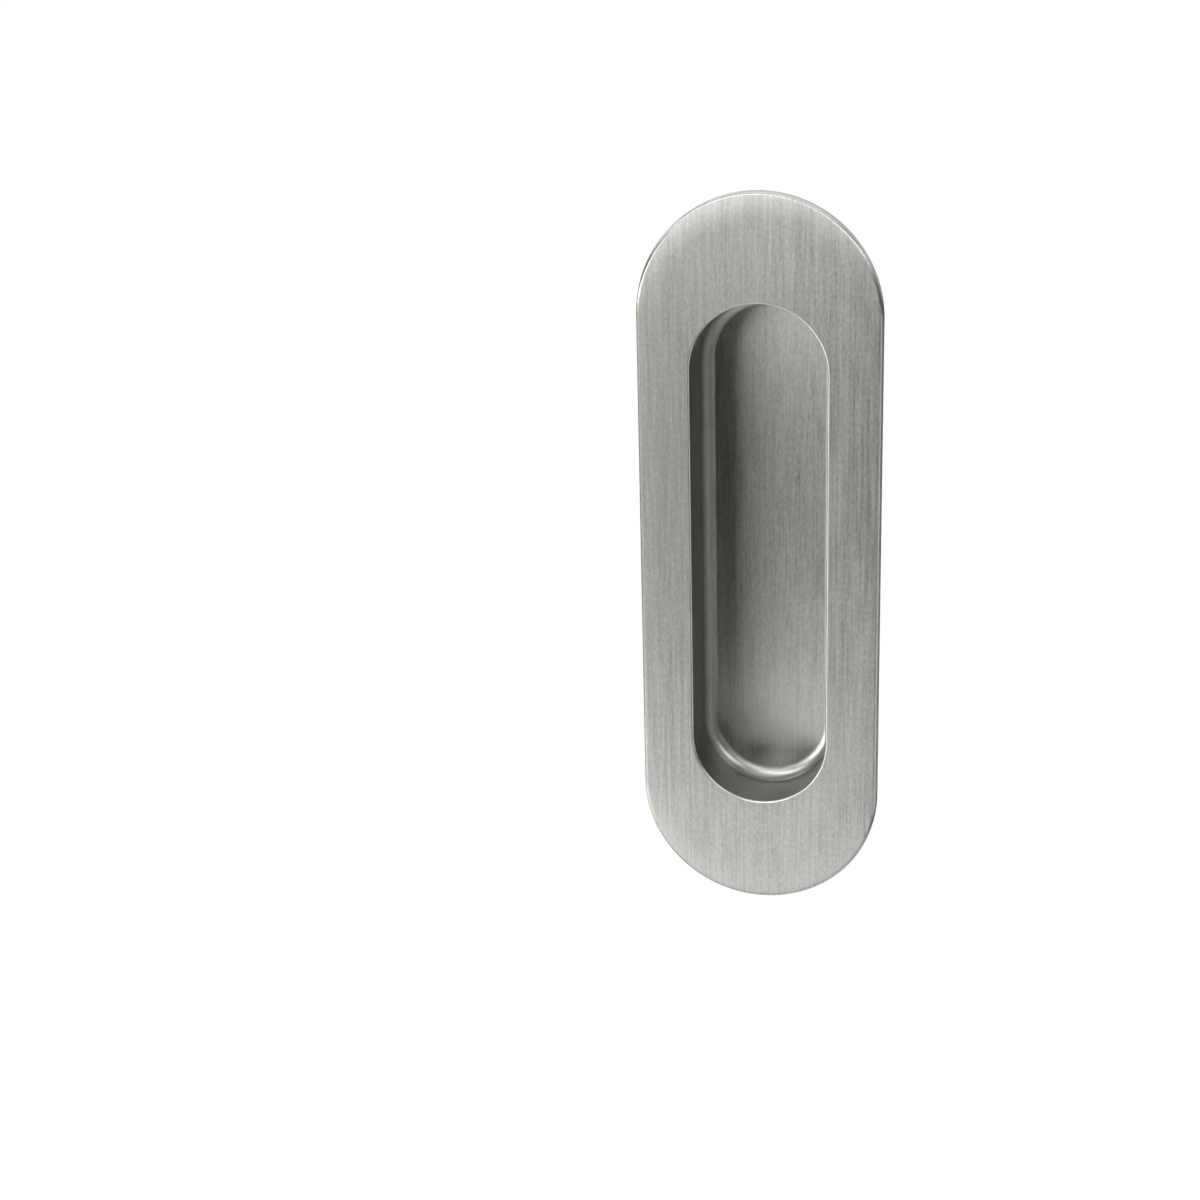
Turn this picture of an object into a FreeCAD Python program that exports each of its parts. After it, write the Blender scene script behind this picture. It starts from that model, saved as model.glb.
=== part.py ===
"""Oval flush pull: a plate with half-round ends and a deep finger cup, made as one piece of metal.

The plate lies on the face of a sliding door or drawer front, and the cup drops into a pocket
that is routed into it. +Z runs up the long axis, the face looks towards -Y, and the origin is
the centre of the plate's back, which is the surface of the door.
"""

import FreeCAD, Part
import os

from FreeCAD import Vector

# Driving dimensions, in millimetres
plate_length = 120.0      # overall, along Z
plate_width = 39.5        # overall, along X
plate_thickness = 2.0
plate_front_round = 0.6   # soft outer corner, left by the finishing belt
plate_back_round = 0.2    # broken edge that meets the door

mouth_length = 84.8       # inside the cup's straight walls
mouth_width = 22.3
mouth_round = 0.35        # crisp lip between the plate's face and the cup's wall

cup_depth = 10.5          # from the plate's face to the cup's floor
floor_fillet = 2.0        # between the inner wall and the floor
cup_wall = 1.2            # even all round, walls and floor
cup_root_fillet = 0.5     # outside, where the cup leaves the plate's back

cut_clearance = 1.0       # how far the cutting block stands proud of the face
position_tolerance = 1e-4


def oval_wire(length, width, y):
    """Two straight sides joined by two half circles, in the plane at that y."""
    radius = width / 2
    centre = length / 2 - radius
    top_left, top_right = Vector(-radius, y, centre), Vector(radius, y, centre)
    bottom_left, bottom_right = Vector(-radius, y, -centre), Vector(radius, y, -centre)
    edges = [
        Part.LineSegment(bottom_right, top_right),
        Part.Arc(top_right, Vector(0, y, length / 2), top_left),
        Part.LineSegment(top_left, bottom_left),
        Part.Arc(bottom_left, Vector(0, y, -length / 2), bottom_right),
    ]
    return Part.Wire([edge.toShape() for edge in edges])


def oval_block(length, width, y_front, y_back):
    """The oval outline run straight back from y_front to y_back."""
    face = Part.Face(oval_wire(length, width, y_front))
    return face.extrude(Vector(0, y_back - y_front, 0))


def edges_at(solid, y, inside_length=None):
    """The edges that lie in the plane at that y, or only those of outlines inside a length."""
    found = []
    for edge in solid.Edges:
        box = edge.BoundBox
        flat = abs(box.YMin - y) < position_tolerance and abs(box.YMax - y) < position_tolerance
        reach = max(abs(box.ZMin), abs(box.ZMax))
        if flat and (inside_length is None or reach < inside_length / 2):
            found.append(edge)
    return found


def make_plate():
    """The flat plate with its outer corners rounded, front and back."""
    face_y = -plate_thickness
    plate = oval_block(plate_length, plate_width, face_y, 0)
    plate = plate.makeFillet(plate_front_round, edges_at(plate, face_y))
    return plate.makeFillet(plate_back_round, edges_at(plate, 0))


def make_cup_outside():
    """The outside of the cup, from inside the plate to the back of its floor."""
    length, width = mouth_length + 2 * cup_wall, mouth_width + 2 * cup_wall
    back_y = cup_depth - plate_thickness + cup_wall
    block = oval_block(length, width, -plate_thickness / 2, back_y)
    return block.makeFillet(floor_fillet + cup_wall, edges_at(block, back_y))


def make_cup_inside():
    """The hollow of the cup, as a block that starts in front of the plate's face."""
    floor_y = cup_depth - plate_thickness
    block = oval_block(mouth_length, mouth_width, -plate_thickness - cut_clearance, floor_y)
    return block.makeFillet(floor_fillet, edges_at(block, floor_y))


def make_flush_pull():
    """Plate and cup as one solid, hollowed out, with its lip and its root rounded."""
    solid = make_plate().fuse(make_cup_outside()).cut(make_cup_inside()).removeSplitter()
    between = (mouth_length + plate_length) / 2
    lip = edges_at(solid, -plate_thickness, inside_length=between)
    solid = solid.makeFillet(mouth_round, lip)
    root = edges_at(solid, 0, inside_length=between)
    return solid.makeFillet(cup_root_fillet, root)


os.makedirs("parts", exist_ok=True)
flush_pull = make_flush_pull()
flush_pull.exportStep("parts/flush_pull.step")
print("solids", len(flush_pull.Solids), "valid", flush_pull.isValid())
print("volume in mm3", round(flush_pull.Volume, 1))
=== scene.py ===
"""Looks of the oval flush pull: one drawn and belt-brushed piece of satin steel."""

import math

import bmesh
import bpy
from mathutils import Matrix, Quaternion, Vector


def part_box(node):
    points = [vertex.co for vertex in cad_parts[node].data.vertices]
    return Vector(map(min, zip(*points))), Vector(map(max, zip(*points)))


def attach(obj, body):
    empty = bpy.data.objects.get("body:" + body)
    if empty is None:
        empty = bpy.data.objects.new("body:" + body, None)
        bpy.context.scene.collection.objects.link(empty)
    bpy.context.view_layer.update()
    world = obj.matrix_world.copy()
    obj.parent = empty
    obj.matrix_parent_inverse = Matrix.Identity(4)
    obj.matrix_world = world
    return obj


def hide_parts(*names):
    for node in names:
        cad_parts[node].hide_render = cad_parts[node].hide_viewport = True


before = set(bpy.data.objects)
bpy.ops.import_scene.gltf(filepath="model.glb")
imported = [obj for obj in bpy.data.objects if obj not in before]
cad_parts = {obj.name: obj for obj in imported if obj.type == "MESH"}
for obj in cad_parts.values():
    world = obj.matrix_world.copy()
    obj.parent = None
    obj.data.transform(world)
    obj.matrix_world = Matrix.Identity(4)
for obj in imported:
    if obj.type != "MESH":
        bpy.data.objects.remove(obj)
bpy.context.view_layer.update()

# The pull. A flat plate with half-round ends and a deep finger cup, drawn from one sheet and
# ground flat. Every contour is an oval, so the plate's rim and both sides of the cup are the
# same sweep: a section with two rounded corners, carried round an oval path.
front_corner, back_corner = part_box("flush_pull")
plate_length = back_corner.z - front_corner.z
plate_width = back_corner.x - front_corner.x
face_depth = front_corner.y
front_round = 0.0006
back_round = 0.0002
mouth_length = 0.0848
mouth_width = 0.0223
mouth_round = 0.00035
cup_wall = 0.0012
floor_depth = back_corner.y - cup_wall
floor_fillet = 0.0020
root_fillet = 0.0005
flat_margin = 0.0003
level_tolerance = 2e-6
weld_distance = 1e-6
sizes = {
    "Plate length": plate_length,
    "Plate width": plate_width,
    "Face depth": face_depth,
    "Front round": front_round,
    "Back round": back_round,
    "Mouth length": mouth_length,
    "Mouth width": mouth_width,
    "Mouth round": mouth_round,
    "Floor depth": floor_depth,
    "Floor fillet": floor_fillet,
    "Cup wall": cup_wall,
    "Root fillet": root_fillet,
    "Flat margin": flat_margin,
}
counts = {"Path steps": 48, "Round steps": 20}

form = bpy.data.node_groups.new("flush_pull_form", "GeometryNodeTree")
form.is_modifier = True
form.interface.new_socket("Geometry", in_out="INPUT", socket_type="NodeSocketGeometry")
form.interface.new_socket("Geometry", in_out="OUTPUT", socket_type="NodeSocketGeometry")
for size_name in sizes:
    form.interface.new_socket(size_name, in_out="INPUT", socket_type="NodeSocketFloat")
for count_name in counts:
    form.interface.new_socket(count_name, in_out="INPUT", socket_type="NodeSocketInt")
given = form.nodes.new("NodeGroupInput").outputs


def add(tree, kind, inputs=(), **settings):
    """One node in a tree, with its settings, and its inputs as values or links."""
    node = tree.nodes.new(kind)
    for name, value in settings.items():
        setattr(node, name, value)
    for name, value in dict(inputs).items():
        if isinstance(value, bpy.types.NodeSocket):
            tree.links.new(value, node.inputs[name])
        else:
            node.inputs[name].default_value = value
    return node


def maths(tree, operation, first, second=0.0):
    """One step of arithmetic in a tree."""
    return add(tree, "ShaderNodeMath", {0: first, 1: second}, operation=operation).outputs[0]


def parts(tree, vector):
    """The X, Y and Z of a vector."""
    return add(tree, "ShaderNodeSeparateXYZ", {0: vector}).outputs


def welded(geometry):
    """A mesh whose points that lie on each other are one."""
    weld = {"Geometry": geometry, "Distance": weld_distance}
    return add(form, "GeometryNodeMergeByDistance", weld).outputs[0]


def oval_path(length, width):
    """A rectangle whose corners are rounded by half its width, its double end points welded."""
    box = add(form, "GeometryNodeCurvePrimitiveQuadrilateral", {"Width": width, "Height": length})
    rounding = {
        "Curve": box.outputs[0],
        "Count": given["Path steps"],
        "Radius": maths(form, "MULTIPLY", width, 0.5),
    }
    ends = add(form, "GeometryNodeFilletCurve", rounding, mode="POLY")
    wire = add(form, "GeometryNodeCurveToMesh", {"Curve": ends.outputs[0]})
    oval = add(form, "GeometryNodeMeshToCurve", {"Mesh": welded(wire.outputs[0])})
    upwards = add(form, "GeometryNodeSetCurveNormal", {"Curve": oval.outputs[0]}, mode="Z_UP")
    return upwards.outputs[0]


def section(points, first_round, second_round):
    """An open line through four points, with a rounding at the second and the third."""
    corners = {
        "Point %d" % (index + 1): add(form, "ShaderNodeCombineXYZ", {"X": out, "Y": depth}).outputs[0]
        for index, (out, depth) in enumerate(points)
    }
    loop = add(form, "GeometryNodeCurvePrimitiveQuadrilateral", corners, mode="POINTS")
    line = add(form, "GeometryNodeSetSplineCyclic", {"Geometry": loop.outputs[0], "Cyclic": False})
    is_second = add(
        form,
        "FunctionNodeCompare",
        {2: add(form, "GeometryNodeInputIndex").outputs[0], 3: 1},
        data_type="INT",
        operation="EQUAL",
    )
    radius = add(
        form,
        "GeometryNodeSwitch",
        {"Switch": is_second.outputs[0], "False": second_round, "True": first_round},
        input_type="FLOAT",
    )
    rounding = {
        "Curve": line.outputs[0],
        "Count": given["Round steps"],
        "Radius": radius.outputs[0],
    }
    return add(form, "GeometryNodeFilletCurve", rounding, mode="POLY").outputs[0]


def sweep(path, profile):
    """The section carried round the path."""
    ends = {"Curve": path, "Profile Curve": profile}
    return add(form, "GeometryNodeCurveToMesh", ends).outputs[0]


def reach(rounding, sign):
    """How far a section runs along the flat, past the end of its rounding."""
    return maths(form, "MULTIPLY", maths(form, "ADD", rounding, given["Flat margin"]), sign)


def with_walls(inner):
    """A size of the cup's outside, a wall more on each side than its inside."""
    return maths(form, "ADD", inner, maths(form, "MULTIPLY", given["Cup wall"], 2.0))


outline = 0.0
door_level = 0.0
face_level = given["Face depth"]
floor_level = given["Floor depth"]
back_level = maths(form, "ADD", floor_level, given["Cup wall"])
rim = sweep(
    oval_path(given["Plate length"], given["Plate width"]),
    section(
        [
            (reach(given["Front round"], -1.0), face_level),
            (outline, face_level),
            (outline, door_level),
            (reach(given["Back round"], -1.0), door_level),
        ],
        given["Front round"],
        given["Back round"],
    ),
)
cup_inside = sweep(
    oval_path(given["Mouth length"], given["Mouth width"]),
    section(
        [
            (reach(given["Mouth round"], 1.0), face_level),
            (outline, face_level),
            (outline, floor_level),
            (reach(given["Floor fillet"], -1.0), floor_level),
        ],
        given["Mouth round"],
        given["Floor fillet"],
    ),
)
outside_fillet = maths(form, "ADD", given["Floor fillet"], given["Cup wall"])
cup_outside = sweep(
    oval_path(with_walls(given["Mouth length"]), with_walls(given["Mouth width"])),
    section(
        [
            (reach(given["Root fillet"], 1.0), door_level),
            (outline, door_level),
            (outline, back_level),
            (reach(outside_fillet, -1.0), back_level),
        ],
        given["Root fillet"],
        outside_fillet,
    ),
)

# The flats close the sweeps: the plate's face and back, each between two ovals, and the cup's
# floor, inside and outside. Each fills the open edges that lie at its own depth.
swept = add(form, "GeometryNodeJoinGeometry")
for surface in (rim, cup_inside, cup_outside):
    form.links.new(surface, swept.inputs[0])
whole = add(form, "GeometryNodeJoinGeometry")
form.links.new(swept.outputs[0], whole.inputs[0])
open_edge = add(
    form,
    "FunctionNodeCompare",
    {2: add(form, "GeometryNodeInputMeshEdgeNeighbors").outputs[0], 3: 1},
    data_type="INT",
    operation="EQUAL",
).outputs[0]
edge_height = parts(form, add(form, "GeometryNodeInputPosition").outputs[0])["Z"]
for level in (face_level, door_level, floor_level, back_level):
    height = maths(form, "MULTIPLY", level, -1.0)
    at_level = add(
        form,
        "FunctionNodeCompare",
        {0: edge_height, 1: height, "Epsilon": level_tolerance},
        data_type="FLOAT",
        operation="EQUAL",
    ).outputs[0]
    chosen = add(form, "FunctionNodeBooleanMath", {0: open_edge, 1: at_level}, operation="AND")
    edges = {"Mesh": swept.outputs[0], "Selection": chosen.outputs[0]}
    loops = add(form, "GeometryNodeMeshToCurve", edges)
    flat = add(form, "GeometryNodeFillCurve", {"Curve": loops.outputs[0]}, mode="TRIANGLES")
    lift = add(form, "ShaderNodeCombineXYZ", {"Z": height})
    place = {"Geometry": flat.outputs[0], "Translation": lift.outputs[0]}
    placed = add(form, "GeometryNodeTransform", place)
    form.links.new(placed.outputs[0], whole.inputs[0])
quarter_turn = {"Geometry": welded(whole.outputs[0]), "Rotation": (math.pi / 2, 0, 0)}
upright = add(form, "GeometryNodeTransform", quarter_turn)
real = add(form, "GeometryNodeRealizeInstances", {"Geometry": upright.outputs[0]})

# The finish. Satin steel: a belt that runs along the pull leaves fine straight scratches on every
# flat face and over the rim, and they spread the light sideways. The cup's walls and floor are
# painted darker as painted shade, and the rounded edges at the ends carry a painted highlight.
steel_colour = (0.502, 0.495, 0.468)
mark_roughness = 0.1
# A painted highlight on the rounded edges at the two ends.
end_highlight_paint = 0.7


def place_on(tree):
    """Where a point of the surface lies on the pull."""
    return add(tree, "ShaderNodeTexCoord").outputs["Object"]


def outward_of(tree):
    """The direction in which the surface faces."""
    return add(tree, "ShaderNodeNewGeometry").outputs["Normal"]


def scaled(tree, vector, factor):
    """A vector or colour times a number."""
    inputs = {0: vector, "Scale": factor}
    return add(tree, "ShaderNodeVectorMath", inputs, operation="SCALE").outputs[0]


def from_spine(tree, spot, length, width):
    """How far a point lies from the middle line of an oval of that length and width."""
    half_spine = (length - width) / 2
    beyond = maths(tree, "SUBTRACT", maths(tree, "ABSOLUTE", spot["Z"]), half_spine)
    away = {"X": spot["X"], "Y": maths(tree, "MAXIMUM", beyond)}
    offset = add(tree, "ShaderNodeCombineXYZ", away).outputs[0]
    return add(tree, "ShaderNodeVectorMath", {0: offset}, operation="LENGTH").outputs["Value"]


def painted_end_highlight(tree, outward):
    """A painted highlight: how much lighter a rounded edge is painted where it faces half up or down.
    """
    facing = parts(tree, outward)
    both = maths(tree, "ABSOLUTE", maths(tree, "MULTIPLY", facing["Y"], facing["Z"]))
    return maths(tree, "MULTIPLY", both, 2 * end_highlight_paint)


def grain(tree, place, marks):
    """Noise drawn out along the marks' direction, around 0, one layer for each scale and weight."""
    noise_middle = 0.5
    level = 0.0
    for scale, weight in marks:
        drawn_out = add(tree, "ShaderNodeVectorMath", {0: place, 1: scale}, operation="MULTIPLY")
        noise = add(
            tree, "ShaderNodeTexNoise", {"Vector": drawn_out.outputs[0], "Scale": 1.0, "Detail": 0.0}
        )
        centred = maths(tree, "SUBTRACT", noise.outputs[0], noise_middle)
        level = maths(tree, "ADD", level, maths(tree, "MULTIPLY", centred, weight))
    return level


def satin(name, roughness, marks, spread):
    """A steel whose tone and roughness follow its marks: the material, its shader, its tone."""
    material = bpy.data.materials.new(name)
    material.use_nodes = True
    tree = material.node_tree
    surface = tree.nodes["Principled BSDF"]
    level = grain(tree, place_on(tree), marks)
    tone = maths(tree, "ADD", maths(tree, "MULTIPLY", level, spread), 1.0)
    worn = maths(tree, "ADD", maths(tree, "MULTIPLY", level, mark_roughness), roughness)
    tree.links.new(worn, surface.inputs["Roughness"])
    surface.inputs["Metallic"].default_value = 1.0
    return material, surface, scaled(tree, steel_colour, tone)


# The brushed steel of the flats and the rim. Its marks are given by how many come to a metre across
# the face, into it and along it, and by their weight: hairlines, nicks, long streaks, broad bands.
belt_marks = [
    ((3200, 3200, 130), 1.0),
    ((3600, 3600, 1400), 1.1),
    ((2400, 2400, 20), 0.5),
    ((500, 500, 14), 0.3),
]
brushed_roughness = 0.36
brushed_anisotropy = 0.95
brushed_spread = 0.33
# Painted shade: how much darker the cup's floor is painted than the face.
floor_painted_shade = 0.9
floor_from = 0.005
bow_radius = 0.73
roll_width = 0.004
roll_slope = 0.05
along_belt = (0, 0, 1)
least_across = (0.02, 0, 0)

brushed_steel, brushed_shader, brushed_colour = satin(
    "brushed_satin_steel", brushed_roughness, belt_marks, brushed_spread
)
brushed_shader.inputs["Anisotropic"].default_value = brushed_anisotropy
tree = brushed_steel.node_tree

# The scratches spread light square to the belt's path, and to one side where a surface faces
# straight along it.
outward = outward_of(tree)
across = add(tree, "ShaderNodeVectorMath", {0: along_belt, 1: outward}, operation="CROSS_PRODUCT")
spread_way = add(
    tree, "ShaderNodeVectorMath", {0: across.outputs[0], 1: least_across}, operation="ADD"
)
tree.links.new(spread_way.outputs[0], brushed_shader.inputs["Tangent"])

# The cup's floor is bowed very slightly outwards along its length, as a pressed floor is, and the
# belt has rolled the plate's face over a little towards its edge.
spot = parts(tree, place_on(tree))
on_floor = maths(tree, "GREATER_THAN", spot["Y"], floor_from)
bow = maths(tree, "MULTIPLY", maths(tree, "MULTIPLY", spot["Z"], spot["Z"]), -0.5 / bow_radius)
bow = maths(tree, "MULTIPLY", bow, on_floor)
overhang = from_spine(tree, spot, plate_length, plate_width)
overhang = maths(tree, "MAXIMUM", maths(tree, "SUBTRACT", overhang, plate_width / 2 - roll_width))
rolled = maths(tree, "MULTIPLY", overhang, overhang)
rolled = maths(tree, "MULTIPLY", rolled, -0.5 * roll_slope / roll_width)
relief = {"Distance": 1.0, "Height": maths(tree, "ADD", bow, rolled)}
bump = add(tree, "ShaderNodeBump", relief)
tree.links.new(bump.outputs[0], brushed_shader.inputs["Normal"])
# The cup's floor is painted darker than the face, as painted shade.
share = maths(tree, "ADD", maths(tree, "MULTIPLY", on_floor, floor_painted_shade - 1.0), 1.0)
# The rounded edges at the ends get a painted highlight.
share = maths(tree, "ADD", share, painted_end_highlight(tree, outward))
tree.links.new(scaled(tree, brushed_colour, share), brushed_shader.inputs["Base Color"])

# The drawn steel of the walls and fillets. Faint marks of the drawing run into the cup. The walls
# are painted darker as painted shade, which fades to full tone where a surface leans towards the
# face, and the lip carries a painted highlight at its two ends.
draw_marks = [((1500, 220, 1500), 1.0), ((300, 60, 300), 0.7)]
drawn_roughness = 0.36
drawn_spread = 0.14
# Painted shade on the walls, and the lean at which it has faded out.
wall_painted_shade = 0.55
shade_ends_at_lean = 0.35
lip_margin = 0.00035
lip_share = 0.9
lip_reach = mouth_width / 2 + mouth_round + lip_margin
lip_depth = face_depth + lip_share * mouth_round

drawn_steel, drawn_shader, drawn_colour = satin(
    "drawn_satin_steel", drawn_roughness, draw_marks, drawn_spread
)
tree = drawn_steel.node_tree
outward = outward_of(tree)
lean = maths(tree, "ABSOLUTE", parts(tree, outward)["Y"])
wall_shade_ramp = add(
    tree,
    "ShaderNodeMapRange",
    {"Value": lean, "From Max": shade_ends_at_lean, "To Min": wall_painted_shade, "To Max": 1.0},
)
spot = parts(tree, place_on(tree))
offset = from_spine(tree, spot, mouth_length, mouth_width)
near_mouth = maths(tree, "LESS_THAN", offset, lip_reach)
on_lip = maths(tree, "MULTIPLY", near_mouth, maths(tree, "LESS_THAN", spot["Y"], lip_depth))
# The lip's painted highlight at its two ends.
lip_end_highlight = maths(tree, "ADD", maths(tree, "MULTIPLY", on_lip, painted_end_highlight(tree, outward)), 1.0)
share = maths(tree, "MULTIPLY", wall_shade_ramp.outputs[0], lip_end_highlight)
tree.links.new(scaled(tree, drawn_colour, share), drawn_shader.inputs["Base Color"])

# The belt reaches every flat face, and all of the plate outside the lip. The rest keeps the drawn
# steel. Then the form is made a plain mesh, its faces turned outwards.
flat_facing = 0.9995
seat = parts(form, add(form, "GeometryNodeInputPosition").outputs[0])
offset = from_spine(form, seat, mouth_length, mouth_width)
past_lip = maths(form, "GREATER_THAN", offset, lip_reach)
on_plate = maths(form, "MULTIPLY", past_lip, maths(form, "LESS_THAN", seat["Y"], door_level))
facing = parts(form, add(form, "GeometryNodeInputNormal").outputs[0])["Y"]
is_flat = maths(form, "GREATER_THAN", maths(form, "ABSOLUTE", facing), flat_facing)
brushed = maths(form, "MAXIMUM", is_flat, on_plate)
drawn = {"Geometry": real.outputs[0], "Material": drawn_steel}
walls_done = add(form, "GeometryNodeSetMaterial", drawn)
belted = {"Geometry": walls_done.outputs[0], "Selection": brushed, "Material": brushed_steel}
finished = add(form, "GeometryNodeSetMaterial", belted)
form.links.new(finished.outputs[0], form.nodes.new("NodeGroupOutput").inputs[0])

blank = bpy.data.objects.new("form", bpy.data.meshes.new("form"))
bpy.context.scene.collection.objects.link(blank)
maker = blank.modifiers.new("form", "NODES")
maker.node_group = form
values = sizes | counts
for item in form.interface.items_tree:
    if item.in_out == "INPUT" and item.name in values:
        maker[item.identifier] = values[item.name]
depsgraph = bpy.context.evaluated_depsgraph_get()
pull_mesh = bpy.data.meshes.new_from_object(blank.evaluated_get(depsgraph))
bpy.data.objects.remove(blank)
shell = bmesh.new()
shell.from_mesh(pull_mesh)
bmesh.ops.recalc_face_normals(shell, faces=shell.faces)
for polygon in shell.faces:
    polygon.smooth = True
shell.to_mesh(pull_mesh)
shell.free()
pull = bpy.data.objects.new("satin_flush_pull", pull_mesh)
bpy.context.scene.collection.objects.link(pull)
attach(pull, "root")
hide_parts("flush_pull")

# The camera, where the photograph was taken from: a little to the right of the pull and above it,
# and rolled very slightly.
camera_place = Vector((0.0687, -0.3523, 0.1161))
camera_aim = Vector((-0.0268, -0.0020, -0.0082))
camera_roll = Quaternion((0, 0, 1), math.radians(-1.514))
camera = bpy.data.objects.new("camera", bpy.data.cameras.new("camera"))
camera.data.sensor_width = 36.0
camera.data.lens = 69.11
camera.data.clip_start = 0.01
camera.rotation_mode = "QUATERNION"
camera.location = camera_place
camera.rotation_quaternion = (camera_aim - camera_place).to_track_quat("-Z", "Y") @ camera_roll
bpy.context.scene.collection.objects.link(camera)
bpy.context.scene.camera = camera

# The studio. A pale floor a metre below the pull, which the camera sees as white as the air, and
# a dark cloth hung round the left, the front and the right, which the camera looks through, so
# that the steel has something dark to show beside the lamps.
floor_drop = 1.0
floor_half = 1.0
floor_colour = (0.8, 0.8, 0.8)
cloth_colour = (0.03, 0.03, 0.03)
cloth_radius = 2.0
cloth_steps = 56
cloth_from, cloth_to = math.radians(-120), math.radians(172)
cloth_top = 3.1
cloth_top_to = math.radians(125)
cloth_low_top = -0.15
cloth_hem = -floor_drop
cloth_hem_to = math.radians(15)
cloth_low_hem = -2.4
air_light = 0.6
air_seen = 1.0


def stage_piece(name, points, faces, colour):
    """A backdrop that is part of the studio and not of the pull."""
    mesh = bpy.data.meshes.new(name)
    mesh.from_pydata(points, [], faces)
    backdrop = bpy.data.objects.new(name, mesh)
    bpy.context.scene.collection.objects.link(backdrop)
    cover = bpy.data.materials.new(name)
    cover.use_nodes = True
    paint = cover.node_tree.nodes["Principled BSDF"]
    paint.inputs["Base Color"].default_value = colour + (1,)
    paint.inputs["Roughness"].default_value = 1.0
    paint.inputs["Specular IOR Level"].default_value = 0.0
    mesh.materials.append(cover)
    return backdrop


sides = ((-1, -1), (1, -1), (1, 1), (-1, 1))
floor_corners = [(x * floor_half, y * floor_half, -floor_drop) for x, y in sides]
floor = stage_piece("floor", floor_corners, [(0, 1, 2, 3)], floor_colour)
tree = floor.data.materials[0].node_tree
on_camera = add(tree, "ShaderNodeLightPath").outputs["Is Camera Ray"]
paint = tree.nodes["Principled BSDF"].outputs[0]
white = add(tree, "ShaderNodeEmission", {"Strength": air_seen}).outputs[0]
seen_white = add(tree, "ShaderNodeMixShader", {0: on_camera, 1: paint, 2: white})
tree.links.new(seen_white.outputs[0], tree.nodes["Material Output"].inputs["Surface"])

cloth_points = []
for step in range(cloth_steps + 1):
    turn = cloth_from + (cloth_to - cloth_from) * step / cloth_steps
    hem = cloth_hem if turn <= cloth_hem_to else cloth_low_hem
    top = cloth_top if turn < cloth_top_to else cloth_low_top
    for level in (hem, top):
        cloth_points.append((cloth_radius * math.sin(turn), -cloth_radius * math.cos(turn), level))
strips = [(2 * k, 2 * k + 2, 2 * k + 3, 2 * k + 1) for k in range(cloth_steps)]
cloth = stage_piece("dark_cloth", cloth_points, strips, cloth_colour)
cloth.visible_camera = False

# The lamps. Softboxes at one distance from the pull. Those low on the left are what the plate and
# the cup's floor mirror to the camera, and the rest bring out the edges, the fillets and the walls.
lamp_distance = 1.5


def lamp(name, azimuth, elevation, wide, high, brightness):
    """A softbox that faces the pull, placed and sized in degrees as the pull sees it."""
    turn, lift = math.radians(azimuth), math.radians(elevation)
    away = Vector((math.sin(turn) * math.cos(lift), -math.cos(turn) * math.cos(lift), math.sin(lift)))
    light = bpy.data.lights.new(name, "AREA")
    light.shape = "RECTANGLE"
    light.size = 2 * lamp_distance * math.tan(math.radians(wide) / 2)
    light.size_y = 2 * lamp_distance * math.tan(math.radians(high) / 2)
    light.energy = brightness * math.pi * light.size * light.size_y
    softbox = bpy.data.objects.new(name, light)
    softbox.location = away * lamp_distance
    softbox.rotation_euler = away.to_track_quat("Z", "Y").to_euler()
    softbox.visible_camera = False
    bpy.context.scene.collection.objects.link(softbox)


lamp("left_wide", -41, -18, 28, 24, 2.15)
lamp("left_top", -48, -2, 42, 8, 7.6)
lamp("left_bottom", -52, -29, 24, 12, 2.8)
lamp("left_far", -68, -18, 20, 16, 0.4)
lamp("left_level", -20, -8, 16, 8, 0.26)
lamp("front_low", -5, 10, 30, 18, 2.4)
lamp("right_low", 24, -22, 12, 16, 0.6)
lamp("right_side", 52, -20, 9, 24, 0.9)
lamp("right_far", 80, -20, 20, 30, 2.6)
lamp("right_top", 60, 30, 20, 24, 3.0)
lamp("over_left", -32, 38, 54, 24, 3.2)
lamp("over_right", 38, 32, 30, 22, 1.6)

# The air. It is white to the camera and in what the steel mirrors, and a softer light on what is
# dull, so that the background is plain white.
world = bpy.data.worlds.new("studio")
bpy.context.scene.world = world
world.use_nodes = True
tree = world.node_tree
ray = add(tree, "ShaderNodeLightPath").outputs
seen = maths(tree, "MAXIMUM", ray["Is Camera Ray"], ray["Is Glossy Ray"])
seen = maths(tree, "MAXIMUM", seen, ray["Is Transmission Ray"])
strength = add(tree, "ShaderNodeMapRange", {"Value": seen, "To Min": air_light, "To Max": air_seen})
air = tree.nodes["Background"].inputs
air["Color"].default_value = (1, 1, 1, 1)
tree.links.new(strength.outputs[0], air["Strength"])

bpy.context.scene.view_settings.view_transform = "Standard"
